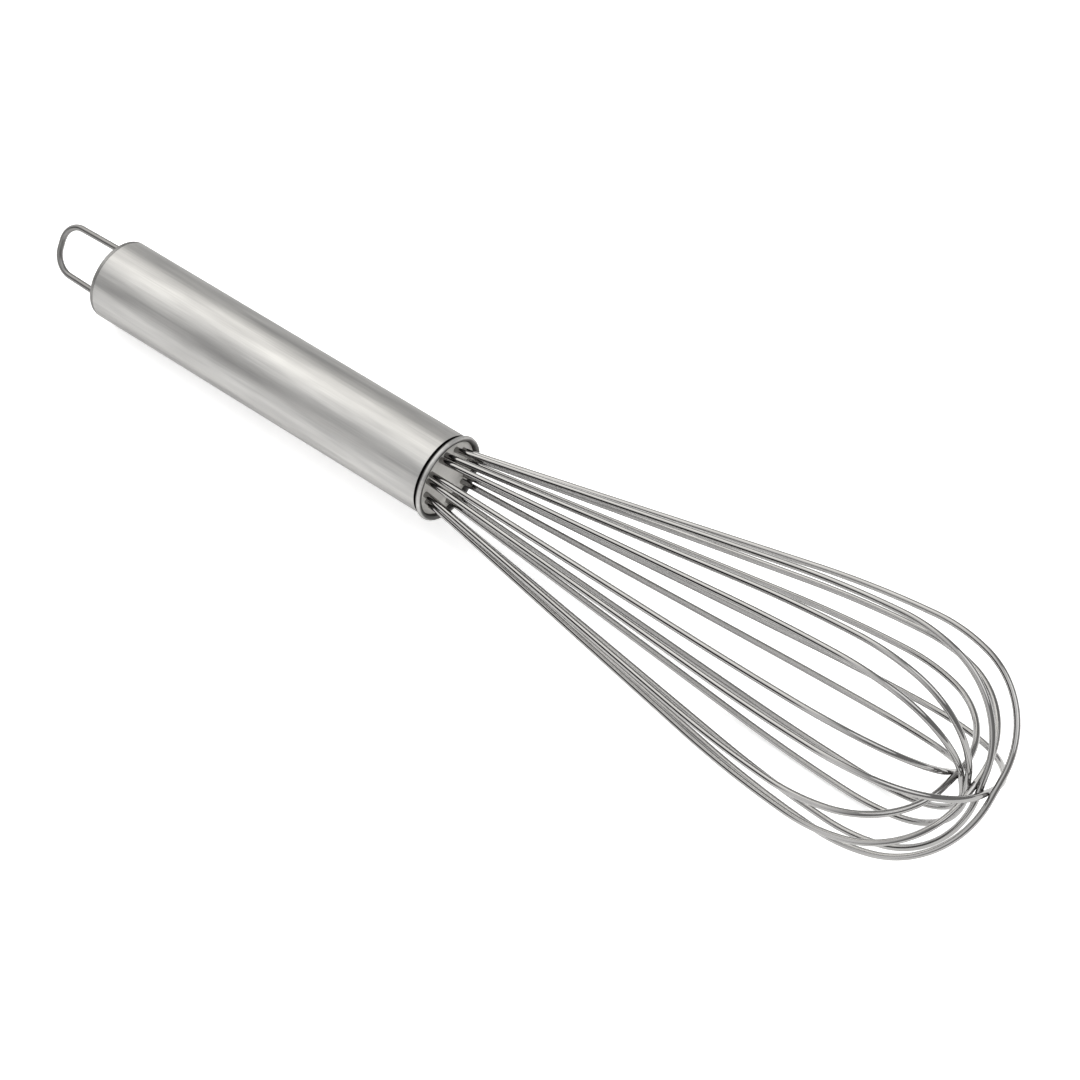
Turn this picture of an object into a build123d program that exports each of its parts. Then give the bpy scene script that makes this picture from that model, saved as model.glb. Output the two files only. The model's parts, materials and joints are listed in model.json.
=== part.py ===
"""Balloon whisk: a steel tube handle with a hanging loop, and eight wire loops set in resin.

The whisk lies at rest: the handle's rear edge and its lowest strands touch the ground, which is
z = 0. +X runs along the whisk from the hanging loop to the wire tip, and +Z is up. The origin is on
the ground, below the middle of the whisk's box. Lengths are in millimetres and angles in degrees.
"""

import os
from math import asin, atan2, cos, degrees, radians, sin, tan

from build123d import *

# Handle: a drawn tube whose mouth is rolled outwards into a bead
handle_diameter = 23.0
handle_length = 120.3
tube_wall = 0.9
bead_stand_out = 0.65

# End cap: a pressed cup, its skirt inside the tube
cap_thickness = 1.5
cap_edge_radius = 1.0
skirt_wall = 0.9
skirt_depth = 9.0

# Hanging loop: one bent wire, its legs inside the cap's skirt and its feet turned inwards
loop_wire_diameter = 1.8
loop_side_gap = 1.3
loop_reach = 23.4
loop_taper = 1.2
loop_corner_radius = 6.0
loop_turn = 35.0
foot_bend_radius = 1.8
foot_length = 2.6

# Inside the mouth: sealing disc, resin and the disc that stops the resin
disc_recess = 1.6
disc_thickness = 1.2
wire_end_cover = 5.0
stop_thickness = 3.0

# Cage: each wire leaves the ring straight, flares, and closes over the tip in tangent arcs
wire_diameter = 1.7
flare_setback = 3.4
wire_count = 8
wire_grip = 24.0
ring_clearance = 1.65
cage_diameter = 60.0
cage_lean = 1.6
mouth_bend_radius = 35.0
flare_angle = 9.8
belly_radius = 280.0
belly_end_angle = 3.0
shoulder_radius = 47.0
shoulder_end_angle = -16.0
crown_half_flat = 3.0
# Place of each wire in the stack at the tip, 0 innermost
stack_order = (4, 7, 5, 3, 2, 0, 6, 1)
# How far each wire strays from even spacing, as a share of the gap between neighbours on the ring
wire_strays = (0.05, -0.2, 0.05, 0.55, -0.3, 0.55, -0.25, 0.35)
# How far each wire's loop leans in its own plane, towards its first strand
wire_leans = (-0.3, 0.65, 0.45, 0, -0.35, -0.25, -0.15, 0.65)

handle_radius = handle_diameter / 2
bore_radius = handle_radius - tube_wall
bead_radius = (tube_wall + bead_stand_out) / 2
skirt_inner_radius = bore_radius - skirt_wall
loop_wire_radius = loop_wire_diameter / 2
wire_radius = wire_diameter / 2
loop_half_width = skirt_inner_radius - loop_side_gap - loop_wire_radius
ring_radius = bore_radius - ring_clearance - wire_radius
wire_spacing = 180 / wire_count
ring_gap_angle = wire_spacing - 2 * degrees(asin(wire_radius / ring_radius))

# The straight run of the outermost wire brings its belly out to the cage's diameter. Each wire
# further in has a shorter run, so that its crown lies one wire nearer the handle.
mouth_bend_rise = mouth_bend_radius * (1 - cos(radians(flare_angle)))
belly_rise = belly_radius * (cos(radians(belly_end_angle)) - cos(radians(flare_angle)))
shoulder_rise = shoulder_radius * (1 - cos(radians(belly_end_angle)))
shoulder_fall = shoulder_radius * (1 - cos(radians(shoulder_end_angle)))
outer_radius = cage_diameter / 2 - wire_radius
longest_rise = outer_radius - ring_radius - mouth_bend_rise - belly_rise - shoulder_rise
longest_run = longest_rise / sin(radians(flare_angle))
tip_slope = (1 + sin(radians(shoulder_end_angle))) / cos(radians(shoulder_end_angle))
crown_travel = cos(radians(flare_angle)) + sin(radians(flare_angle)) * tip_slope
run_step = wire_diameter / crown_travel


def wire_azimuth(index):
    """Direction of a wire's loop about the axis, from the level side direction towards up."""
    return (index + 0.5) * wire_spacing + wire_strays[index] * ring_gap_angle


def run_length(index):
    """Length of a wire's straight flared run."""
    return longest_run - run_step * (wire_count - 1 - stack_order[index])


def widest_radius(index):
    """Radius of a wire's widest point from the axis."""
    return outer_radius - (longest_run - run_length(index)) * sin(radians(flare_angle))


def tip_radius(index):
    """Radius of the arc that turns a wire square to the axis, from the width it has left."""
    width_left = widest_radius(index) - shoulder_fall
    return (width_left - crown_half_flat) / cos(radians(shoulder_end_angle))


def strand_point(index, heading):
    """Distance along the axis and radius where a strand's direction makes this angle to the axis."""
    along = -flare_setback + mouth_bend_radius * sin(radians(flare_angle))
    along += run_length(index) * cos(radians(flare_angle))
    on_belly = max(heading, belly_end_angle)
    along += belly_radius * (sin(radians(flare_angle)) - sin(radians(on_belly)))
    on_shoulder = min(heading, belly_end_angle)
    along += shoulder_radius * (sin(radians(belly_end_angle)) - sin(radians(on_shoulder)))
    below_widest = belly_radius * (cos(radians(belly_end_angle)) - cos(radians(on_belly)))
    below_widest += shoulder_radius * (1 - cos(radians(on_shoulder)))
    return along, widest_radius(index) - below_widest


def whisk_plane(tilt, azimuth, lean=0):
    """Plane through the mouth's centre: x along the axis to the tip, y out at this azimuth.

    With a lean, x turns outwards from the axis by that angle and y turns back with it.
    """
    ahead = Vector(cos(radians(tilt)), 0, sin(radians(tilt)))
    up = Vector(-sin(radians(tilt)), 0, cos(radians(tilt)))
    outward = Vector(0, 1, 0) * cos(radians(azimuth)) + up * sin(radians(azimuth))
    leaning = ahead * cos(radians(lean)) + outward * sin(radians(lean))
    return Plane(origin=(0, 0, 0), x_dir=leaning, z_dir=ahead.cross(outward))


def wire_plane(tilt, index):
    """Plane that a wire's loop lies in."""
    return whisk_plane(tilt + cage_lean, wire_azimuth(index), wire_leans[index])


def cage_drop(tilt):
    """How far the lowest strand reaches below the mouth's centre with the handle tilted tip-up."""
    drops = []
    for index in range(wire_count):
        plane = wire_plane(tilt, index)
        for downward in (-plane.y_dir.Z, plane.y_dir.Z):
            if downward > 0.5:
                heading = min(degrees(atan2(plane.x_dir.Z, downward)), flare_angle)
                along, radius = strand_point(index, heading)
                drops.append(radius * downward - along * plane.x_dir.Z + wire_radius)
    return max(drops)


def rear_drop(tilt):
    """How far the end cap's lower edge reaches below the mouth's centre."""
    behind = handle_length - cap_edge_radius
    below = handle_radius - cap_edge_radius
    return behind * sin(radians(tilt)) + below * cos(radians(tilt)) + cap_edge_radius


# The tilt at which the cap's edge and the lowest strand touch the same level ground
low_tilt = 0.0
high_tilt = 30.0
for halving in range(40):
    rest_tilt = (low_tilt + high_tilt) / 2
    if cage_drop(rest_tilt) > rear_drop(rest_tilt):
        low_tilt = rest_tilt
    else:
        high_tilt = rest_tilt


profile_plane = whisk_plane(rest_tilt, 90)
handle_axis = Axis((0, 0, 0), profile_plane.x_dir)
cross_section = Plane(origin=(0, 0, 0), x_dir=(0, 1, 0), z_dir=profile_plane.x_dir)
tube_end = handle_length - cap_thickness

with BuildPart() as handle_tube:
    with BuildSketch(cross_section.offset(-tube_end)):
        Circle(handle_radius)
        Circle(bore_radius, mode=Mode.SUBTRACT)
    extrude(amount=tube_end - bead_radius)
    with BuildSketch(profile_plane):
        with Locations((-bead_radius, bore_radius + bead_radius)):
            Circle(bead_radius)
    revolve(axis=handle_axis)

with BuildPart() as hanging_loop:
    loop_plane = whisk_plane(rest_tilt, 90 - loop_turn)
    foot_x = tube_end - foot_bend_radius - loop_wire_radius
    top_x = handle_length + loop_reach - loop_wire_radius
    foot_half_width = loop_half_width + (tube_end - foot_x) * tan(radians(loop_taper))
    top_half_width = loop_half_width - (top_x - tube_end) * tan(radians(loop_taper))
    foot_tip = loop_half_width - foot_bend_radius - foot_length
    with BuildLine(loop_plane) as loop_path:
        FilletPolyline(
            (-foot_x, foot_tip),
            (-foot_x, foot_half_width),
            (-top_x, top_half_width),
            (-top_x, -top_half_width),
            (-foot_x, -foot_half_width),
            (-foot_x, -foot_tip),
            radius=[foot_bend_radius, loop_corner_radius, loop_corner_radius, foot_bend_radius],
        )
    with BuildSketch(Plane(origin=loop_path.line @ 0, z_dir=loop_path.line % 0)):
        Circle(loop_wire_radius)
    sweep(path=loop_path.line)

with BuildPart() as end_cap:
    with BuildSketch(cross_section.offset(-handle_length)):
        Circle(handle_radius)
    extrude(amount=cap_thickness)
    rear_edge = end_cap.edges().sort_by(handle_axis)[0]
    fillet(rear_edge, cap_edge_radius)
    with BuildSketch(cross_section.offset(-tube_end)):
        Circle(bore_radius)
        Circle(skirt_inner_radius, mode=Mode.SUBTRACT)
    extrude(amount=skirt_depth)
    add(hanging_loop.part, mode=Mode.SUBTRACT)

wires = []
for index in range(wire_count):
    with BuildPart() as whisk_wire:
        with BuildLine(wire_plane(rest_tilt, index)) as wire_path:
            grip_end = -flare_setback - wire_grip
            grip = Line((grip_end, ring_radius), (-flare_setback, ring_radius))
            bend = JernArc(grip @ 1, grip % 1, mouth_bend_radius, flare_angle)
            run = Line(bend @ 1, bend @ 1 + (bend % 1) * run_length(index))
            belly = JernArc(run @ 1, run % 1, belly_radius, belly_end_angle - flare_angle)
            shoulder_turn = shoulder_end_angle - belly_end_angle
            shoulder = JernArc(belly @ 1, belly % 1, shoulder_radius, shoulder_turn)
            tip_turn = -90 - shoulder_end_angle
            tip = JernArc(shoulder @ 1, shoulder % 1, tip_radius(index), tip_turn)
            crown = Line(tip @ 1, tip @ 1 + (tip % 1) * crown_half_flat * 2)
            far_tip = JernArc(crown @ 1, crown % 1, tip_radius(index), tip_turn)
            far_shoulder = JernArc(far_tip @ 1, far_tip % 1, shoulder_radius, shoulder_turn)
            far_belly = JernArc(
                far_shoulder @ 1, far_shoulder % 1, belly_radius, belly_end_angle - flare_angle
            )
            far_run = Line(far_belly @ 1, far_belly @ 1 + (far_belly % 1) * run_length(index))
            far_bend = JernArc(far_run @ 1, far_run % 1, mouth_bend_radius, flare_angle)
            far_grip = Line(far_bend @ 1, far_bend @ 1 + (far_bend % 1) * wire_grip)
        with BuildSketch(Plane(origin=wire_path.line @ 0, z_dir=wire_path.line % 0)):
            Circle(wire_radius)
        sweep(path=wire_path.line)
    wires.append(whisk_wire)

disc_back = disc_recess + disc_thickness
resin_back = flare_setback + wire_grip + wire_end_cover

with BuildPart() as sealing_disc:
    with BuildSketch(cross_section.offset(-disc_back)):
        Circle(bore_radius)
    extrude(amount=disc_thickness)
    for whisk_wire in wires:
        add(whisk_wire.part, mode=Mode.SUBTRACT)

with BuildPart() as resin_core:
    with BuildSketch(cross_section.offset(-resin_back)):
        Circle(bore_radius)
    extrude(amount=resin_back - disc_back)
    for whisk_wire in wires:
        add(whisk_wire.part, mode=Mode.SUBTRACT)

with BuildPart() as resin_stop:
    with BuildSketch(cross_section.offset(-resin_back - stop_thickness)):
        Circle(bore_radius)
    extrude(amount=stop_thickness)

pieces = {
    "handle_tube": handle_tube,
    "end_cap": end_cap,
    "hanging_loop": hanging_loop,
    "sealing_disc": sealing_disc,
    "resin_core": resin_core,
    "resin_stop": resin_stop,
}
for index, whisk_wire in enumerate(wires):
    pieces[f"whisk_wire_{index + 1}"] = whisk_wire

# Set the whisk on the ground with the middle of its box above the origin
whole_box = handle_tube.part.bounding_box()
for piece in pieces.values():
    whole_box = whole_box.add(piece.part.bounding_box())
middle = whole_box.center()

os.makedirs("parts", exist_ok=True)
for name, piece in pieces.items():
    piece.part.label = name
    piece.part.move(Location((-middle.X, -middle.Y, -whole_box.min.Z)))
    export_step(piece.part, f"parts/{name}.step")

print(f"rest tilt {rest_tilt:.3f}, mouth centre {-middle.X:.3f} {-middle.Y:.3f} {-whole_box.min.Z:.3f}")
print(f"box {whole_box.size.X:.2f} x {whole_box.size.Y:.2f} x {whole_box.size.Z:.2f}")
print(f"longest straight run {longest_run:.2f}, each wire {run_step:.3f} shorter than the next")
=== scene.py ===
"""Balloon whisk: smooth steel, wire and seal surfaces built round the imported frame.

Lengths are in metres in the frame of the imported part: +X runs towards the wire tip and +Z is up.
"""

import json
from math import cos, degrees, pi, radians, sin, tan

import bpy
import numpy as np
from bpy.props import (
    FloatProperty,
    FloatVectorProperty,
    IntProperty,
    IntVectorProperty,
    PointerProperty,
)
from mathutils import Matrix, Vector


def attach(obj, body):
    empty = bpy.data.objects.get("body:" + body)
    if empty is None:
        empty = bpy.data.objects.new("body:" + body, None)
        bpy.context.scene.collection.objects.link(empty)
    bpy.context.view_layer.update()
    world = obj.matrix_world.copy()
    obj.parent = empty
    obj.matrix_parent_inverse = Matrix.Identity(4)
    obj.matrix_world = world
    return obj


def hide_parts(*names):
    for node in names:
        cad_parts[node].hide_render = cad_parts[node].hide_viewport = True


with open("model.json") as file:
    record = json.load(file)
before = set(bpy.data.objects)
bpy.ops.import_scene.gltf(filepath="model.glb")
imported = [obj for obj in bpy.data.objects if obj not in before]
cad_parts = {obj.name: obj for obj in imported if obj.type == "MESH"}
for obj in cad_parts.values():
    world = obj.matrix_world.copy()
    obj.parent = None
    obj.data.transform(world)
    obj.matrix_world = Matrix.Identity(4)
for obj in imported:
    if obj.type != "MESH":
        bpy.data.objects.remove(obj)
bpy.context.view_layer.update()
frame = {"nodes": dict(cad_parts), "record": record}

bl_info = {
    "name": "Balloon Whisk",
    "version": (1, 0, 0),
    "blender": (4, 5, 0),
    "location": "3D Viewport > Sidebar > Whisk",
    "description": "Builds the steel surfaces of a balloon whisk and the stage it lies on",
    "category": "Object",
}

MM = 0.001
WIRE_COUNT = 8
# Sockets of a Mix node that mixes colours: its factor, its two colours and its result
FACTOR, FIRST, SECOND, MIXED = 0, 6, 7, 2


def linear(code):
    """Linear colour of an sRGB hex code: each channel through the sRGB curve."""
    channels = np.array([int(code[i : i + 2], 16) for i in (1, 3, 5)]) / 255
    curved = ((channels + 0.055) / 1.055) ** 2.4
    return tuple(float(c) for c in np.where(channels <= 0.04045, channels / 12.92, curved))


def length(name, description, millimetres):
    """A length property with its default given in millimetres."""
    return FloatProperty(
        name=name, description=description, default=millimetres * MM, unit="LENGTH", precision=5
    )


def angle(name, description, in_degrees):
    """An angle property with its default given in degrees."""
    return FloatProperty(
        name=name, description=description, default=radians(in_degrees), subtype="ANGLE"
    )


def colour(name, description, code):
    """A colour property with its default given as an sRGB hex code."""
    return FloatVectorProperty(
        name=name, description=description, default=linear(code), subtype="COLOR", size=3,
        min=0, max=1,
    )


class WhiskHandle(bpy.types.PropertyGroup):
    """Sizes of the handle tube and the cap that closes it."""

    diameter: length("Diameter", "Outside of the tube", 23.0)
    length: length("Length", "Mouth to the back of the cap", 120.3)
    tube_wall: length("Tube wall", "Thickness of the tube", 0.9)
    bead_stand_out: length("Bead", "How far the rolled bead stands out from the tube", 0.65)
    groove_depth: length("Groove depth", "Depth of the groove rolled behind the bead", 0.4)
    groove_width: length("Groove width", "Width of the groove rolled behind the bead", 0.8)
    cap_thickness: length("Cap thickness", "Thickness of the cap's end", 1.5)
    cap_edge_radius: length("Cap edge", "Rounding of the cap's rear edge", 1.0)
    skirt_wall: length("Skirt wall", "Thickness of the cap's skirt", 0.9)
    skirt_depth: length("Skirt depth", "Depth of the cap's skirt inside the tube", 9.0)


class WhiskLoop(bpy.types.PropertyGroup):
    """Sizes of the hanging loop."""

    wire_diameter: length("Wire", "Diameter of the loop's wire", 1.8)
    side_gap: length("Side gap", "Gap between the loop's legs and the cap's skirt", 1.3)
    reach: length("Reach", "How far the loop stands out behind the cap", 23.4)
    taper: angle("Taper", "How far each leg leans inwards", 1.2)
    corner_radius: length("Corner radius", "Middle of the wire in the loop's corners", 6.0)
    turn: angle("Turn", "Turn of the loop's plane about the handle", 35.0)
    foot_bend_radius: length("Foot bend", "Middle of the wire where the feet turn in", 1.8)
    foot_length: length("Foot length", "Straight end of each foot", 2.6)


class WhiskCage(bpy.types.PropertyGroup):
    """Sizes of the balloon of wires."""

    wire_diameter: length("Wire", "Diameter of the wires", 1.7)
    wire_grip: length("Grip", "Length of straight wire held in the resin", 24.0)
    flare_setback: length("Flare setback", "Depth behind the mouth where wires flare", 3.4)
    ring_clearance: length("Ring clearance", "Gap between the wires and the bore", 1.65)
    diameter: length("Diameter", "Widest part of the balloon", 60.0)
    lean: angle("Lean", "How far the balloon leans up from the handle", 1.6)
    mouth_bend_radius: length("Mouth bend", "Bend of each wire as it leaves the mouth", 35.0)
    flare: angle("Flare", "Angle of the straight runs to the axis", 9.8)
    belly_radius: length("Belly radius", "Arc along the belly", 280.0)
    belly_end: angle("Belly end", "Angle to the axis where the belly ends", 3.0)
    shoulder_radius: length("Shoulder radius", "Arc over the shoulder", 47.0)
    shoulder_end: angle("Shoulder end", "Angle to the axis where the shoulder ends", -16.0)
    crown_half_flat: length("Crown flat", "Half of the straight over the tip", 3.0)
    stack_order: IntVectorProperty(
        name="Stack order", description="Place of each wire at the tip, 0 innermost",
        size=WIRE_COUNT, default=(4, 7, 5, 3, 2, 0, 6, 1),
    )
    wire_strays: FloatVectorProperty(
        name="Strays", description="Stray of each wire as a share of the gap to its neighbour",
        size=WIRE_COUNT, default=(0.05, -0.2, 0.05, 0.55, -0.3, 0.55, -0.25, 0.35),
    )
    wire_leans: FloatVectorProperty(
        name="Leans", description="Lean of each wire's loop in its own plane", unit="ROTATION",
        size=WIRE_COUNT,
        default=[radians(lean) for lean in (-0.3, 0.65, 0.45, 0, -0.35, -0.25, -0.15, 0.65)],
    )


class WhiskSeal(bpy.types.PropertyGroup):
    """Sizes of the sealing disc inside the mouth."""

    recess: length("Recess", "Depth of the seal's face behind the mouth", 1.6)
    thickness: length("Thickness", "Thickness of the disc", 1.2)
    collar_height: length("Collar height", "Rise of the seal round each wire", 0.5)
    collar_reach: length("Collar reach", "Distance over which the rise dies away", 0.45)
    grain: length("Grain", "Size of the speckle in the resin", 0.5)


class WhiskFinish(bpy.types.PropertyGroup):
    """Colours of the finishes."""

    tube_light: colour("Tube light", "Clean brushed steel", "#BDBCBA")
    tube_dark: colour("Tube dark", "Steel in the grinding lines", "#A09F9E")
    tube_edge: colour("Tube edge", "Tint of the steel at a glancing angle", "#B0B0B0")
    # Painted shade: near-black colour laid in the groove, down the bead's flanks and on the cap's edge
    crevice: colour("Crevice", "Grime in the groove and along the bead", "#0C0B0B")
    wire_light: colour("Wire light", "Clean drawn wire", "#A6A5A4")
    wire_dark: colour("Wire dark", "Drawing lines of the wire", "#7C7B7A")
    seal_light: colour("Seal light", "Moulded seal", "#DAD8D4")
    seal_dark: colour("Seal dark", "Speckle in the seal", "#C6C4BF")
    core_light: colour("Core light", "Cast resin inside the handle", "#A9A597")
    core_dark: colour("Core dark", "Speckle in the cast resin", "#8B8779")
    stop_light: colour("Stop light", "Moulded stop inside the handle", "#4E4E4E")
    stop_dark: colour("Stop dark", "Speckle in the stop", "#3A3A3A")
    floor: colour("Floor", "Plain pale floor", "#FFFFFF")


class WhiskStage(bpy.types.PropertyGroup):
    """Camera, floor and lights."""

    azimuth: angle("Azimuth", "Direction of the camera about Z, from +X", -48.862)
    elevation: angle("Elevation", "Height of the camera above the horizon", 53.152)
    roll: angle("Roll", "Turn of the camera about its line of sight", -1.816)
    distance: length("Distance", "Camera to the point it looks at", 757.1)
    aim: FloatVectorProperty(
        name="Aim", description="Point that the camera looks at", size=3, unit="LENGTH",
        default=(0.01847, 0.00064, 0.018), precision=5,
    )
    lens: FloatProperty(name="Lens", description="Focal length in millimetres", default=100.0)
    floor_size: length("Floor size", "Side of the floor", 12000.0)
    lamp_size: length("Lamp size", "Width of the round lamp", 1600.0)
    lamp_distance: length("Lamp distance", "Origin to the lamp", 1800.0)
    lamp_power: FloatProperty(name="Lamp power", description="Power of the lamp", default=12, unit="POWER")


class WhiskSettings(bpy.types.PropertyGroup):
    """Everything that a user would change."""

    handle: PointerProperty(type=WhiskHandle)
    loop: PointerProperty(type=WhiskLoop)
    cage: PointerProperty(type=WhiskCage)
    seal: PointerProperty(type=WhiskSeal)
    finish: PointerProperty(type=WhiskFinish)
    stage: PointerProperty(type=WhiskStage)
    sides: IntProperty(name="Wire sides", description="Faces round a wire", default=20, min=8)
    handle_sides: IntProperty(
        name="Handle sides", description="Faces round the handle", default=256, min=24
    )


def handle_axis():
    """(mouth's centre, axis towards the tip, sideways, up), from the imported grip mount.

    The mount lies on the axis, halfway between the tube's rear end and the back of the bead.
    """
    sizes = bpy.context.scene.whisk.handle
    grip = next(m for m in frame["record"]["mounts"] if m["name"] == "handle_grip")
    ahead = -np.array(grip["axis"])
    ahead /= np.linalg.norm(ahead)
    sideways = np.array([0.0, 1.0, 0.0])
    bead = sizes.tube_wall + sizes.bead_stand_out
    half_way = (sizes.length - sizes.cap_thickness + bead) / 2
    mouth = np.array(grip["pos_m"]) + ahead * half_way
    return mouth, ahead, sideways, np.cross(ahead, sideways)


def bore_radius(handle):
    """Inside of the handle tube."""
    return handle.diameter / 2 - handle.tube_wall


def ring_radius(handle, cage):
    """Distance from the axis to the middle of each strand in the mouth."""
    return bore_radius(handle) - cage.ring_clearance - cage.wire_diameter / 2


def way(azimuth, elevation):
    """Direction at an azimuth from +X and an elevation, in degrees."""
    level = cos(radians(elevation))
    turn = radians(azimuth)
    return Vector((level * cos(turn), level * sin(turn), sin(radians(elevation))))


def unit(rows):
    """Rows divided by their own lengths."""
    return rows / np.linalg.norm(rows, axis=-1, keepdims=True)


def rounded(corners, radii, steps=8):
    """An open line with each corner between its two ends replaced by an arc.

    With e the half angle between the corner's two edges, the arc's centre lies radius / sin(e)
    along their bisector, and the arc spans the turn, pi - 2e, evenly in `steps` points.
    """
    corners = np.asarray(corners, float)
    back = unit(np.roll(corners, 1, 0) - corners)
    on = unit(np.roll(corners, -1, 0) - corners)
    half = np.arccos(np.clip((back * on).sum(1), -1, 1)) / 2
    radii = np.broadcast_to(np.asarray(radii, float), half.shape)
    bisector, along = unit(back + on), unit(on - back)
    centre = corners + bisector * (radii / np.sin(half))[:, None]
    sweep = np.linspace(-1, 1, steps) * (pi / 2 - half)[:, None]
    arcs = centre[:, None] + radii[:, None, None] * (
        along[:, None] * np.sin(sweep)[..., None] - bisector[:, None] * np.cos(sweep)[..., None]
    )
    return np.vstack([corners[:1], arcs[1:-1].reshape(-1, 2), corners[-1:]])


def bent_line(start, headings, lengths, longest=2.5 * MM, sharpest=radians(2.5)):
    """A flat line whose heading changes evenly over each length.

    The heading is read off against arc length, and the line is the running sum of its cosine and
    sine. Stations come every `longest` or every `sharpest` of turn, whichever is sooner.
    """
    samples = 6001
    breaks = np.concatenate([[0], np.cumsum(lengths)])
    arc = np.linspace(0, breaks[-1], samples)
    heading = np.interp(arc, breaks, headings)
    middle = (heading[1:] + heading[:-1]) / 2
    steps = np.stack([np.cos(middle), np.sin(middle)], 1) * (arc[1] - arc[0])
    line = np.vstack([[start], np.asarray(start) + np.cumsum(steps, 0)])
    effort = np.diff(arc) / longest + np.abs(np.diff(heading)) / sharpest
    effort = np.concatenate([[0], np.cumsum(effort)])
    wanted = np.linspace(0, effort[-1], int(np.ceil(effort[-1])) + 1)
    station = np.interp(wanted, effort, arc)
    return np.stack([np.interp(station, arc, line[:, k]) for k in (0, 1)], 1)


def surface(name, grid, wrap=False, **attributes):
    """A closed mesh from a grid of points: rows follow the profile or path, columns go round it.

    Neighbouring rows and columns are joined by quads, the last column to the first. With `wrap`
    the last row joins the first. Otherwise a point in the middle of the first and of the last row
    closes each end with a fan. The UV map is in metres: u round the widest row, v along the path.
    Each attribute is a list of one value for each row.
    """
    rows, columns = grid.shape[:2]
    last = rows if wrap else rows - 1
    i, j = np.meshgrid(np.arange(last), np.arange(columns), indexing="ij")
    below, beside = (i + 1) % rows, (j + 1) % columns
    quads = np.stack(
        [i * columns + j, i * columns + beside, below * columns + beside, below * columns + j], -1
    ).reshape(-1, 4)
    points = grid.reshape(-1, 3)
    faces = quads.tolist()
    row_gap = np.linalg.norm(np.diff(grid, axis=0, append=grid[:1]), axis=-1).max(1)
    travel = np.concatenate([[0], np.cumsum(row_gap)])
    girth = np.linalg.norm(np.diff(grid, axis=1, append=grid[:, :1]), axis=-1).sum(1).max()
    u = np.stack([j, j + 1, j + 1, j], -1) * girth / columns
    v = np.stack([travel[i], travel[i], travel[i + 1], travel[i + 1]], -1)
    corners = [np.stack([u, v], -1).reshape(-1, 2)]
    if not wrap:
        ends = grid[[0, -1]].mean(1)
        first, final = rows * columns, rows * columns + 1
        ring = np.arange(columns)
        nearer = np.stack([np.full(columns, first), (ring + 1) % columns, ring], -1)
        outer = (rows - 1) * columns
        after = outer + (ring + 1) % columns
        farther = np.stack([np.full(columns, final), outer + ring, after], -1)
        points = np.vstack([points, ends])
        faces += nearer.tolist() + farther.tolist()
        fan = np.stack([ring + 0.5, ring + 1, ring], -1) * girth / columns
        corners.append(np.stack([fan, np.zeros_like(fan)], -1).reshape(-1, 2))
        fan = np.stack([ring + 0.5, ring, ring + 1], -1) * girth / columns
        corners.append(np.stack([fan, np.full_like(fan, travel[rows - 1])], -1).reshape(-1, 2))
    mesh = bpy.data.meshes.new(name)
    mesh.from_pydata(points.tolist(), [], faces)
    mesh.polygons.foreach_set("use_smooth", np.ones(len(faces), bool))
    mesh.uv_layers.new(name="surface").uv.foreach_set("vector", np.vstack(corners).ravel())
    for key, values in attributes.items():
        row_values = np.repeat(values, columns)
        spare = len(points) - len(row_values)
        layer = mesh.attributes.new(key, "FLOAT", "POINT")
        layer.data.foreach_set("value", np.concatenate([row_values, np.zeros(spare)]))
    mesh.update()
    return mesh


def revolved(along, radius, sides):
    """Grid of a profile turned about the handle's axis: mouth + axis * along + outward * radius.

    `radius` has one value for each row. `along` has one for each row, as a column, or one for
    each point of the grid.
    """
    mouth, ahead, sideways, up = handle_axis()
    around = np.linspace(0, 2 * pi, sides, endpoint=False)
    outward = np.cos(around)[:, None] * sideways + np.sin(around)[:, None] * up
    return mouth + along[..., None] * ahead + radius[:, None, None] * outward


def tube(centres, reference, radius, sides):
    """Grid of a circle carried along a path.

    At each station the circle stands square to the tangent; its first direction is the reference
    crossed with the tangent, and its second is the tangent crossed with that.
    """
    tangent = unit(np.gradient(centres, axis=0))
    side = unit(np.cross(reference, tangent))
    rise = np.cross(tangent, side)
    around = np.linspace(0, 2 * pi, sides, endpoint=False)
    ring = np.cos(around)[:, None] * side[:, None] + np.sin(around)[:, None] * rise[:, None]
    return centres[:, None] + radius * ring


def place(name, mesh, node, material):
    """Links a mesh with its material, rides it on the body and lets it stand for its node."""
    piece = bpy.data.objects.new(name, mesh)
    mesh.materials.append(material)
    bpy.context.scene.collection.objects.link(piece)
    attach(piece, "root")
    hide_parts(node)
    return piece


def new_material(name):
    """An empty node material with its output."""
    material = bpy.data.materials.new(name)
    material.use_nodes = True
    material.node_tree.nodes.clear()
    return material, material.node_tree


def add(tree, kind, inputs=(), **settings):
    """Adds a node: settings are its own values, inputs are socket values or links by name."""
    made = tree.nodes.new(kind)
    for key, value in settings.items():
        setattr(made, key, value)
    for socket, value in dict(inputs).items():
        if isinstance(value, bpy.types.NodeSocket):
            tree.links.new(value, made.inputs[socket])
        else:
            made.inputs[socket].default_value = value
    return made


def opaque(rgb):
    """A colour with full alpha."""
    return (*rgb, 1.0)


def along_surface(tree, gap, run, detail, **noise):
    """Noise of streaks that lie along a piece, this far apart and this long on its UV map."""
    uv = add(tree, "ShaderNodeUVMap", uv_map="surface")
    stretched = add(tree, "ShaderNodeMapping", {
        "Vector": uv.outputs[0], "Scale": (1 / gap, 1 / run, 1.0)})
    return add(tree, "ShaderNodeTexNoise", {
        "Vector": stretched.outputs[0], "Scale": 1.0, "Detail": detail, **noise})


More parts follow.
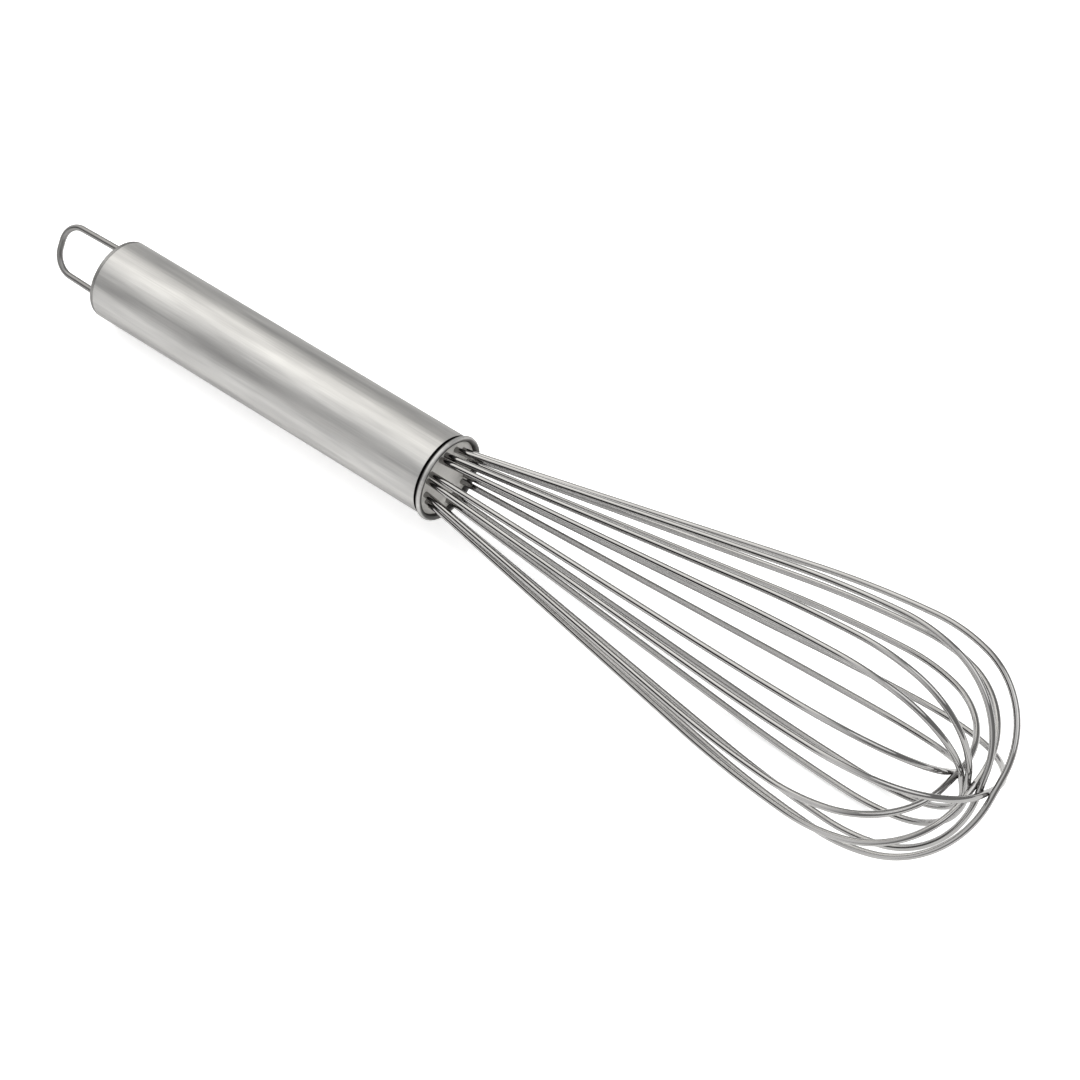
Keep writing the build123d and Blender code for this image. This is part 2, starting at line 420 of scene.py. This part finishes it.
def brushed_stainless():
    """Stainless tube ground lengthwise: soft bands of light that run along it, faint lines."""
    finish = bpy.context.scene.whisk.finish
    material, tree = new_material("brushed_stainless")
    # Grit lines are about 0.05 mm apart; drawn 0.22 mm apart and 30 mm long so that they show
    lines = along_surface(tree, 0.22 * MM, 30 * MM, 4.0, Roughness=0.6)
    # Handling streaks a few millimetres wide lie along the tube
    streaks = along_surface(tree, 2.6 * MM, 26 * MM, 2.0)
    # Handling marks a few centimetres across vary the gloss slightly
    spot = add(tree, "ShaderNodeTexCoord")
    marks = add(tree, "ShaderNodeTexNoise", {
        "Vector": spot.outputs["Object"], "Scale": 1 / (18 * MM), "Detail": 3.0})
    grain = add(tree, "ShaderNodeMath", {
        0: streaks.outputs["Fac"], 1: lines.outputs["Fac"]}, operation="ADD")
    spread = add(tree, "ShaderNodeMapRange", {
        "Value": grain.outputs[0], "From Min": 0.7, "From Max": 1.3})
    base = add(tree, "ShaderNodeMix", {
        FACTOR: spread.outputs[0], FIRST: opaque(finish.tube_dark),
        SECOND: opaque(finish.tube_light)}, data_type="RGBA")
    # Painted shade darkens the groove, the bead's flanks and the cap's edge: near-black colour where shade
    # and dark reflections fall
    crevice = add(tree, "ShaderNodeAttribute", attribute_name="crevice")
    with_painted_shade = add(tree, "ShaderNodeMix", {
        FACTOR: crevice.outputs["Fac"], FIRST: base.outputs[MIXED],
        SECOND: opaque(finish.crevice)}, data_type="RGBA")
    gloss = add(tree, "ShaderNodeMapRange", {
        "Value": lines.outputs["Fac"], "From Min": 0.3, "From Max": 0.7,
        "To Min": 0.38, "To Max": 0.46})
    worn = add(tree, "ShaderNodeMath", {
        0: marks.outputs["Fac"], 1: 0.10, 2: gloss.outputs[0]}, operation="MULTIPLY_ADD")
    relief = add(tree, "ShaderNodeBump", {
        "Height": lines.outputs["Fac"], "Strength": 0.35, "Distance": 0.012 * MM})
    shader = add(tree, "ShaderNodeBsdfPrincipled", {
        "Base Color": with_painted_shade.outputs[MIXED], "Metallic": 1.0, "Roughness": worn.outputs[0],
        "Specular Tint": opaque(finish.tube_edge), "Normal": relief.outputs[0]})
    add(tree, "ShaderNodeOutputMaterial", {"Surface": shader.outputs[0]})
    return material


def drawn_wire():
    """Drawn stainless wire: narrow highlights, fine lines along the wire; duller on the loop."""
    finish = bpy.context.scene.whisk.finish
    material, tree = new_material("drawn_stainless_wire")
    # Die lines are under 0.05 mm apart; drawn 0.3 mm apart and 12 mm long so that they show
    lines = along_surface(tree, 0.3 * MM, 12 * MM, 3.0)
    base = add(tree, "ShaderNodeMix", {
        FACTOR: lines.outputs["Fac"], FIRST: opaque(finish.wire_dark),
        SECOND: opaque(finish.wire_light)}, data_type="RGBA")
    gloss = add(tree, "ShaderNodeMapRange", {
        "Value": lines.outputs["Fac"], "From Min": 0.3, "From Max": 0.7,
        "To Min": 0.06, "To Max": 0.12})
    # The hanging loop is scuffed by use, so it is darker and less glossy than the cage
    dull = add(tree, "ShaderNodeAttribute", attribute_name="dull")
    handled = add(tree, "ShaderNodeMix", {
        FACTOR: dull.outputs["Fac"], FIRST: base.outputs[MIXED],
        SECOND: opaque(finish.wire_dark)}, data_type="RGBA")
    worn = add(tree, "ShaderNodeMath", {
        0: dull.outputs["Fac"], 1: 0.24, 2: gloss.outputs[0]}, operation="MULTIPLY_ADD")
    relief = add(tree, "ShaderNodeBump", {
        "Height": lines.outputs["Fac"], "Strength": 0.2, "Distance": 0.01 * MM})
    shader = add(tree, "ShaderNodeBsdfPrincipled", {
        "Base Color": handled.outputs[MIXED], "Metallic": 1.0, "Roughness": worn.outputs[0],
        "Normal": relief.outputs[0]})
    add(tree, "ShaderNodeOutputMaterial", {"Surface": shader.outputs[0]})
    return material


def cast_plastic(name, light, dark, grain, roughness):
    """Filled resin or moulded plastic: matt, with a fine speckle and a slightly uneven skin."""
    material, tree = new_material(name)
    spot = add(tree, "ShaderNodeTexCoord")
    speckle = add(tree, "ShaderNodeTexNoise", {
        "Vector": spot.outputs["Object"], "Scale": 1 / grain, "Detail": 4.0})
    base = add(tree, "ShaderNodeMix", {
        FACTOR: speckle.outputs["Fac"], FIRST: opaque(dark), SECOND: opaque(light)},
        data_type="RGBA")
    gloss = add(tree, "ShaderNodeMapRange", {
        "Value": speckle.outputs["Fac"], "To Min": roughness - 0.1, "To Max": roughness + 0.1})
    relief = add(tree, "ShaderNodeBump", {
        "Height": speckle.outputs["Fac"], "Strength": 0.3, "Distance": 0.05 * MM})
    shader = add(tree, "ShaderNodeBsdfPrincipled", {
        "Base Color": base.outputs[MIXED], "Roughness": gloss.outputs[0], "IOR": 1.55,
        "Normal": relief.outputs[0]})
    add(tree, "ShaderNodeOutputMaterial", {"Surface": shader.outputs[0]})
    return material


def pale_floor():
    """Smooth white paper, lit a little from below so that shadows on it stay faint."""
    finish = bpy.context.scene.whisk.finish
    material, tree = new_material("pale_paper_floor")
    spot = add(tree, "ShaderNodeTexCoord")
    # Paper fibre is under a millimetre and hardly shows
    fibre = add(tree, "ShaderNodeTexNoise", {
        "Vector": spot.outputs["Object"], "Scale": 1 / (0.8 * MM), "Detail": 2.0})
    gloss = add(tree, "ShaderNodeMapRange", {
        "Value": fibre.outputs["Fac"], "To Min": 0.85, "To Max": 0.95})
    shader = add(tree, "ShaderNodeBsdfPrincipled", {
        "Base Color": opaque(finish.floor), "Roughness": gloss.outputs[0],
        "Specular IOR Level": 0.1,
        "Emission Color": opaque(finish.floor), "Emission Strength": 0.4})
    add(tree, "ShaderNodeOutputMaterial", {"Surface": shader.outputs[0]})
    return material


class WHISK_OT_handle(bpy.types.Operator):
    """Build the handle tube with its rolled bead, and the cap that closes it"""

    bl_idname = "whisk.handle"
    bl_label = "Handle"

    def execute(self, context):
        steel = brushed_stainless()
        self.tube_shell(context.scene.whisk, steel)
        self.cap(context.scene.whisk, steel)
        return {"FINISHED"}

    def tube_shell(self, whisk, steel):
        """The tube's wall, with the groove and the rolled bead, as a closed profile turned round.

        The bead is an arc from its back, over the outside, to where it meets the bore.
        """
        handle = whisk.handle
        outer, bore = handle.diameter / 2, bore_radius(handle)
        rear = handle.cap_thickness - handle.length
        bead = (handle.tube_wall + handle.bead_stand_out) / 2
        bead_centre = bore + bead
        groove_back = -2 * bead - handle.groove_width
        tube_line = np.arcsin((outer - bead_centre) / bead)
        sweep = np.linspace(pi - 0.6 * tube_line, -pi / 2, 40)
        arc = np.stack([-bead + bead * np.cos(sweep), bead_centre + bead * np.sin(sweep)], 1)
        # The bore's long wall is broken at two stations
        wall = rounded(
            [
                (rear + 20 * MM, bore),
                (rear, bore),
                (rear, outer),
                (groove_back, outer),
                (groove_back + handle.groove_width / 2, outer - handle.groove_depth),
                (arc[0, 0], arc[0, 1]),
            ],
            np.array([0.1, 0.12, 0.12, 0.12, 0.1, 0.1]) * MM,
        )
        profile = np.vstack([wall, arc[1:-1], [(-bead, bore), (rear + 80 * MM, bore)]])
        # Painted shade and painted reflection: dark in the groove and down both flanks of the bead, whose
        # crest keeps the steel's own colour
        places = [-0.5, 0.05, 0.2, 0.5, 0.66, 0.85]
        flanks = np.interp(sweep / pi, places, [0.8, 0.7, 0.0, 0.0, 0.9, 0.55])
        in_groove = (wall[:, 0] > groove_back) & (wall[:, 1] > bore + handle.tube_wall / 3)
        crevice = np.concatenate([in_groove, flanks[1:-1], [0.8, 0.0]])
        grid = revolved(profile[:, :1], profile[:, 1], whisk.handle_sides)
        mesh = surface("handle_shell", grid, wrap=True, crevice=crevice)
        place("handle_shell", mesh, "handle_tube", steel)

    def cap(self, whisk, steel):
        """The cap's end and its skirt inside the tube, as a profile turned round the axis."""
        handle = whisk.handle
        outer, bore = handle.diameter / 2, bore_radius(handle)
        rear = handle.cap_thickness - handle.length
        skirt_front = rear + handle.skirt_depth
        skirt_inner = bore - handle.skirt_wall
        # The profile starts and ends beside the axis, where a fan closes it
        centre = 0.5 * MM
        edge_radius = handle.cap_edge_radius / MM
        profile = rounded(
            [
                (-handle.length, centre),
                (-handle.length, outer),
                (rear, outer),
                (rear, bore),
                (skirt_front, bore),
                (skirt_front, skirt_inner),
                (rear, skirt_inner),
                (rear, centre),
            ],
            np.array([0.1, edge_radius, 0.15, 0.1, 0.3, 0.3, 0.5, 0.1]) * MM,
        )
        grid = revolved(profile[:, :1], profile[:, 1], whisk.handle_sides)
        # Painted shade: the cap's rounded rear edge is painted darker than its wall
        on_edge = (profile[:, 0] < rear) & (profile[:, 1] > outer - handle.cap_edge_radius)
        mesh = surface("end_cup", grid, crevice=np.where(on_edge, 0.45, 0.0))
        place("end_cup", mesh, "end_cap", steel)


class WHISK_OT_loop(bpy.types.Operator):
    """Build the hanging loop from one bent wire"""

    bl_idname = "whisk.loop"
    bl_label = "Hanging loop"

    def execute(self, context):
        whisk = context.scene.whisk
        handle, loop = whisk.handle, whisk.loop
        radius = loop.wire_diameter / 2
        half_width = bore_radius(handle) - handle.skirt_wall - loop.side_gap - radius
        tube_end = handle.length - handle.cap_thickness
        foot_x = tube_end - loop.foot_bend_radius - radius
        top_x = handle.length + loop.reach - radius
        foot_half = half_width + (tube_end - foot_x) * tan(loop.taper)
        top_half = half_width - (top_x - tube_end) * tan(loop.taper)
        foot_tip = half_width - loop.foot_bend_radius - loop.foot_length
        corners = [
            (-foot_x, foot_tip), (-foot_x, foot_half), (-top_x, top_half),
            (-top_x, -top_half), (-foot_x, -foot_half), (-foot_x, -foot_tip),
        ]
        bends = [1.0, loop.foot_bend_radius, loop.corner_radius]
        flat = rounded(corners, bends + bends[::-1], steps=32)
        mouth, ahead, sideways, up = handle_axis()
        out_angle = pi / 2 - loop.turn
        outward = cos(out_angle) * sideways + sin(out_angle) * up
        centres = mouth + flat[:, :1] * ahead + flat[:, 1:] * outward
        grid = tube(centres, np.cross(ahead, outward), radius, whisk.sides)
        mesh = surface("hanger", grid, dull=np.ones(len(grid)))
        place("hanger", mesh, "hanging_loop", drawn_wire())
        return {"FINISHED"}


def wire_azimuth(cage, ring, index):
    """Direction of a wire's plane about the axis: even spacing plus its stray.

    A stray is a share of the free angle between neighbours, spacing - 2 arcsin(radius / ring).
    """
    gap = pi / WIRE_COUNT - 2 * np.arcsin(cage.wire_diameter / 2 / ring)
    return (index + 0.5) * pi / WIRE_COUNT + cage.wire_strays[index] * gap


def wire_line(cage, ring, index):
    """Flat line of a whole wire, (along, radius), from its end in the resin to its other end.

    Half of it is a bent line: grip, mouth bend, straight run, belly arc, shoulder arc, tip arc and
    half of the crown. The other half mirrors it. Each wire nearer the handle at the tip has a
    straight run shorter by one step, which moves its crown by one wire diameter.
    """
    flare, belly_end, shoulder_end = cage.flare, cage.belly_end, cage.shoulder_end
    outer = (cage.diameter - cage.wire_diameter) / 2
    rise = cage.mouth_bend_radius * (1 - cos(flare))
    rise += cage.belly_radius * (cos(belly_end) - cos(flare))
    rise += cage.shoulder_radius * (1 - cos(belly_end))
    longest_run = (outer - ring - rise) / sin(flare)
    tip_slope = (1 + sin(shoulder_end)) / cos(shoulder_end)
    step = cage.wire_diameter / (cos(flare) + sin(flare) * tip_slope)
    run = longest_run - step * (WIRE_COUNT - 1 - cage.stack_order[index])
    widest = outer - (longest_run - run) * sin(flare)
    width_left = widest - cage.shoulder_radius * (1 - cos(shoulder_end))
    tip_radius = (width_left - cage.crown_half_flat) / cos(shoulder_end)
    lengths = [
        cage.wire_grip,
        cage.mouth_bend_radius * flare,
        run,
        cage.belly_radius * (flare - belly_end),
        cage.shoulder_radius * (belly_end - shoulder_end),
        tip_radius * (pi / 2 + shoulder_end),
        cage.crown_half_flat,
    ]
    headings = [0, 0, flare, flare, belly_end, shoulder_end, -pi / 2, -pi / 2]
    half = bent_line((-cage.flare_setback - cage.wire_grip, ring), headings, lengths)
    return np.vstack([half, half[-2::-1] * [1, -1]])


class WHISK_OT_cage(bpy.types.Operator):
    """Build the eight wires of the balloon"""

    bl_idname = "whisk.cage"
    bl_label = "Cage wires"

    def execute(self, context):
        whisk = context.scene.whisk
        cage = whisk.cage
        ring = ring_radius(whisk.handle, cage)
        mouth, ahead, sideways, up = handle_axis()
        cage_ahead = cos(cage.lean) * ahead + sin(cage.lean) * up
        cage_up = cos(cage.lean) * up - sin(cage.lean) * ahead
        steel = drawn_wire()
        for index in range(WIRE_COUNT):
            azimuth = wire_azimuth(cage, ring, index)
            outward = cos(azimuth) * sideways + sin(azimuth) * cage_up
            # Each flat loop leans in its own plane, towards its first strand
            lean = cage.wire_leans[index]
            along = cos(lean) * cage_ahead + sin(lean) * outward
            across = cos(lean) * outward - sin(lean) * cage_ahead
            flat = wire_line(cage, ring, index)
            centres = mouth + flat[:, :1] * along + flat[:, 1:] * across
            grid = tube(centres, np.cross(along, across), cage.wire_diameter / 2, whisk.sides)
            name = f"cage_wire_{index + 1}"
            place(name, surface(name, grid), f"whisk_wire_{index + 1}", steel)
        return {"FINISHED"}


class WHISK_OT_seal(bpy.types.Operator):
    """Build the sealing disc, which rises a little round each wire and at the bore"""

    bl_idname = "whisk.seal"
    bl_label = "Seal"

    def execute(self, context):
        whisk = context.scene.whisk
        cage, seal, finish = whisk.cage, whisk.seal, whisk.finish
        bore, ring = bore_radius(whisk.handle), ring_radius(whisk.handle, cage)
        sides = 512
        around = np.linspace(0, 2 * pi, sides, endpoint=False)
        # Rows: out over the back, up the rim, then in over the front in steps of about 0.12 mm
        centre = 0.3 * MM
        back = np.array([centre, bore - 0.1 * MM, bore])
        front = np.linspace(bore, centre, 88)
        across = np.stack([front[:, None] * np.cos(around), front[:, None] * np.sin(around)], -1)
        azimuths = np.array([wire_azimuth(cage, ring, k) for k in range(WIRE_COUNT)])
        azimuths = np.concatenate([azimuths, azimuths + pi])
        strands = ring * np.stack([np.cos(azimuths), np.sin(azimuths)], -1)
        gap = np.linalg.norm(across[:, :, None] - strands, axis=-1) - cage.wire_diameter / 2
        wall_gap = (bore - front)[:, None]
        # The rise is exp(-gap / reach) beside a wire, and 0.7 of that beside the bore
        rise = np.exp(-np.maximum(gap, 0) / seal.collar_reach).max(-1)
        rise = np.maximum(rise, 0.7 * np.exp(-wall_gap / seal.collar_reach))
        face = -seal.recess + seal.collar_height * (rise - 0.15)
        rear = np.full((len(back), sides), -seal.recess - seal.thickness)
        grid = revolved(np.vstack([rear, face]), np.concatenate([back, front]), sides)
        resin = cast_plastic(
            "cast_seal_resin", finish.seal_light, finish.seal_dark, seal.grain, 0.45
        )
        place("seal_face", surface("seal_face", grid), "sealing_disc", resin)
        return {"FINISHED"}


class WHISK_OT_core(bpy.types.Operator):
    """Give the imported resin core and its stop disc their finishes"""

    bl_idname = "whisk.core"
    bl_label = "Core finishes"

    def execute(self, context):
        finish = context.scene.whisk.finish
        resin = cast_plastic("cast_epoxy", finish.core_light, finish.core_dark, 0.8 * MM, 0.4)
        stop = cast_plastic("moulded_stop", finish.stop_light, finish.stop_dark, 0.6 * MM, 0.55)
        for node, material in (("resin_core", resin), ("resin_stop", stop)):
            slots = frame["nodes"][node].data.materials
            slots.clear()
            slots.append(material)
        return {"FINISHED"}


class WHISK_OT_stage(bpy.types.Operator):
    """Set up the floor, the soft light and the camera"""

    bl_idname = "whisk.stage"
    bl_label = "Stage"

    def execute(self, context):
        scene = context.scene
        stage = scene.whisk.stage
        half = stage.floor_size / 2
        corners = np.array([(-half, -half, 0), (half, -half, 0), (half, half, 0), (-half, half, 0)])
        mesh = bpy.data.meshes.new("floor")
        mesh.from_pydata(corners.tolist(), [], [(0, 1, 2, 3)])
        mesh.materials.append(pale_floor())
        floor = bpy.data.objects.new("floor", mesh)
        scene.collection.objects.link(floor)

        direction = way(degrees(stage.azimuth), degrees(stage.elevation))
        data = bpy.data.cameras.new("camera")
        data.lens = stage.lens
        data.clip_start = 0.01
        camera = bpy.data.objects.new("camera", data)
        turn = (-direction).to_track_quat("-Z", "Y").to_matrix()
        turn = turn @ Matrix.Rotation(stage.roll, 3, "Z")
        spot = Vector(stage.aim) + direction * stage.distance
        camera.matrix_world = Matrix.Translation(spot) @ turn.to_4x4()
        scene.collection.objects.link(camera)
        scene.camera = camera

        self.tent(scene)
        self.lamp(scene)
        scene.view_settings.view_transform = "Standard"
        return {"FINISHED"}

    def tent(self, scene):
        """The tent that the steel mirrors: grey, with a bright wall, a dark gap and a warm glow.

        Each part is a smooth step of the angle between a direction and the part's middle, and
        covers the parts before it. All three lie past the handle's rear end: the wall and the
        narrow gap in it towards -Y, the glow higher and towards +Y.
        """
        world = bpy.data.worlds.new("tent")
        world.use_nodes = True
        tree = world.node_tree
        tree.nodes.clear()
        spot = add(tree, "ShaderNodeTexCoord")
        shade = opaque((0.42, 0.42, 0.42))
        for middle, edge, core, tone in (
            ((-145, 26), 80, 40, (1.55, 1.55, 1.55)),
            ((-134, 18), 28, 14, (0.01, 0.01, 0.01)),
            ((160, 50), 36, 12, (2.45, 2.42, 2.34)),
        ):
            facing = add(tree, "ShaderNodeVectorMath", {
                0: spot.outputs["Generated"], 1: way(*middle)}, operation="DOT_PRODUCT")
            near = add(tree, "ShaderNodeMapRange", {
                "Value": facing.outputs["Value"], "From Min": cos(radians(edge)),
                "From Max": cos(radians(core))}, interpolation_type="SMOOTHSTEP")
            mixed = add(tree, "ShaderNodeMix", {
                FACTOR: near.outputs[0], FIRST: shade, SECOND: opaque(tone)}, data_type="RGBA")
            shade = mixed.outputs[MIXED]
        # Seen straight on, the whole tent is plain white
        path = add(tree, "ShaderNodeLightPath")
        seen = add(tree, "ShaderNodeMix", {
            FACTOR: path.outputs["Is Camera Ray"], FIRST: shade, SECOND: opaque((1.0, 1.0, 1.0))},
            data_type="RGBA")
        background = add(tree, "ShaderNodeBackground", {"Color": seen.outputs[MIXED]})
        add(tree, "ShaderNodeOutputWorld", {"Surface": background.outputs[0]})
        scene.world = world

    def lamp(self, scene):
        """A broad round lamp, high ahead of the tip and facing the whisk."""
        stage = scene.whisk.stage
        data = bpy.data.lights.new("broad_lamp", "AREA")
        data.shape = "DISK"
        data.size = stage.lamp_size
        data.energy = stage.lamp_power
        lamp = bpy.data.objects.new("broad_lamp", data)
        side = way(25, 60)
        turn = side.to_track_quat("Z", "Y").to_matrix().to_4x4()
        lamp.matrix_world = Matrix.Translation(side * stage.lamp_distance) @ turn
        scene.collection.objects.link(lamp)


class WHISK_PT_panel(bpy.types.Panel):
    """Lists the whisk's pieces in the sidebar"""

    bl_idname = "WHISK_PT_panel"
    bl_label = "Balloon Whisk"
    bl_space_type = "VIEW_3D"
    bl_region_type = "UI"
    bl_category = "Whisk"

    def draw(self, context):
        for operator in OPERATORS:
            self.layout.operator(operator.bl_idname)


OPERATORS = (
    WHISK_OT_stage,
    WHISK_OT_handle,
    WHISK_OT_loop,
    WHISK_OT_cage,
    WHISK_OT_seal,
    WHISK_OT_core,
)
CLASSES = (
    WhiskHandle,
    WhiskLoop,
    WhiskCage,
    WhiskSeal,
    WhiskFinish,
    WhiskStage,
    WhiskSettings,
    *OPERATORS,
    WHISK_PT_panel,
)


def register():
    for kind in CLASSES:
        bpy.utils.register_class(kind)
    bpy.types.Scene.whisk = PointerProperty(type=WhiskSettings)


def unregister():
    del bpy.types.Scene.whisk
    for kind in reversed(CLASSES):
        bpy.utils.unregister_class(kind)


def main():
    register()
    for operator in OPERATORS:
        group, action = operator.bl_idname.split(".")
        getattr(getattr(bpy.ops, group), action)()


if __name__ == "__main__":
    main()
